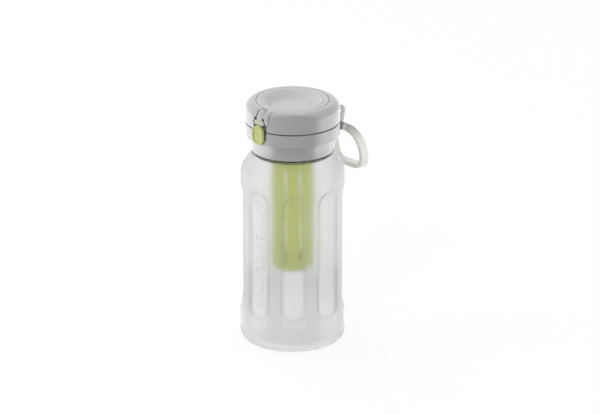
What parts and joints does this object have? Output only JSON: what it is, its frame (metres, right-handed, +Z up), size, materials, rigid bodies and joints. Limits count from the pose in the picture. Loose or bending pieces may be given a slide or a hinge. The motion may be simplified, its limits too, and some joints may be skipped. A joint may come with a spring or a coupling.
{
  "type": "fruit infuser water bottle",
  "caption": "Frosted water bottle with finger panels, flip lid with push button and lock clasp, hanging slotted infuser tube and a carry loop on the cap.",
  "frame": {"origin": "centre of the base, on the plane that the bottle stands on", "axes": "+Z up the bottle's axis, -Y towards the release button, +Y towards the lid hinge and carry loop, +X to the right seen from the button"},
  "size_m": [0.086, 0.1153, 0.2087],
  "materials": {
    "frosted_body": "frosted translucent copolyester",
    "smoke_plastic": "glossy smoke grey, slightly clear",
    "disc_plastic": "glossy grey",
    "liner_plastic": "satin grey",
    "spout_plastic": "satin pale grey",
    "infuser_green": "clear olive green",
    "lime_plastic": "glossy lime",
    "cream_plastic": "pale cream",
    "loop_grey": "soft-touch warm grey",
    "seal_silicone": "milky silicone",
    "pin_steel": "bright steel",
    "spring_steel": "drawn wire"
  },
  "bodies": {
    "bottle": {"bottle_shell": "frosted_body"},
    "gasket": {"neck_gasket": "seal_silicone"},
    "seal_ring": {"infuser_seal": "seal_silicone"},
    "cap": {"cap_base": "smoke_plastic", "drink_spout": "spout_plastic", "hinge_pin": "pin_steel", "button_pin": "pin_steel", "button_spring": "spring_steel", "loop_posts": "smoke_plastic"},
    "lid": {"lid_shell": "smoke_plastic", "lid_top_disc": "disc_plastic", "lid_liner": "liner_plastic", "lid_seal": "seal_silicone", "clasp_pin": "pin_steel", "hinge_spring": "spring_steel"},
    "button": {"release_button": "lime_plastic"},
    "clasp": {"lock_clasp": "cream_plastic"},
    "loop": {"carry_loop": "loop_grey"},
    "infuser": {"infuser_basket": "infuser_green"},
    "infuser_foot": {"infuser_end_cap": "infuser_green"}
  },
  "joints": [
    {"name": "cap_lift", "type": "slide", "parent": "bottle", "child": "gasket", "axis": [0, 0, 1], "range_m": [0, 0.13]},
    {"name": "thread_rise", "type": "slide", "parent": "gasket", "child": "seal_ring", "axis": [0, 0, 1], "range_m": [0, 0.0051]},
    {"name": "cap_turn", "type": "hinge", "parent": "seal_ring", "child": "cap", "pos_m": [0, 0, 0.175], "axis": [0, 0, 1], "range_deg": [0, 450]},
    {"name": "lid_open", "type": "hinge", "parent": "cap", "child": "lid", "pos_m": [0, 0.0429, 0.1913], "axis": [-1, 0, 0], "range_deg": [0, 120]},
    {"name": "button_rock", "type": "hinge", "parent": "cap", "child": "button", "pos_m": [0, -0.0371, 0.1872], "axis": [1, 0, 0], "range_deg": [0, 7], "stiffness_Nm_per_rad": 0.05, "deforming": ["button_spring"]},
    {"name": "clasp_swing", "type": "hinge", "parent": "lid", "child": "clasp", "pos_m": [0, -0.0336, 0.2069], "axis": [-1, 0, 0], "range_deg": [0, 100]},
    {"name": "loop_swing", "type": "hinge", "parent": "cap", "child": "loop", "pos_m": [0, 0.0414, 0.1792], "axis": [1, 0, 0], "range_deg": [-22, 48]},
    {"name": "infuser_drop", "type": "slide", "parent": "cap", "child": "infuser", "axis": [0, 0, -1], "range_m": [0, 0.045]},
    {"name": "end_cap_pull", "type": "slide", "parent": "infuser", "child": "infuser_foot", "axis": [0, 0, -1], "range_m": [0, 0.012]}
  ],
  "couplings": [
    {"joint": "thread_rise", "follows": "cap_turn", "m_per_rad": 0.00063662}
  ]
}
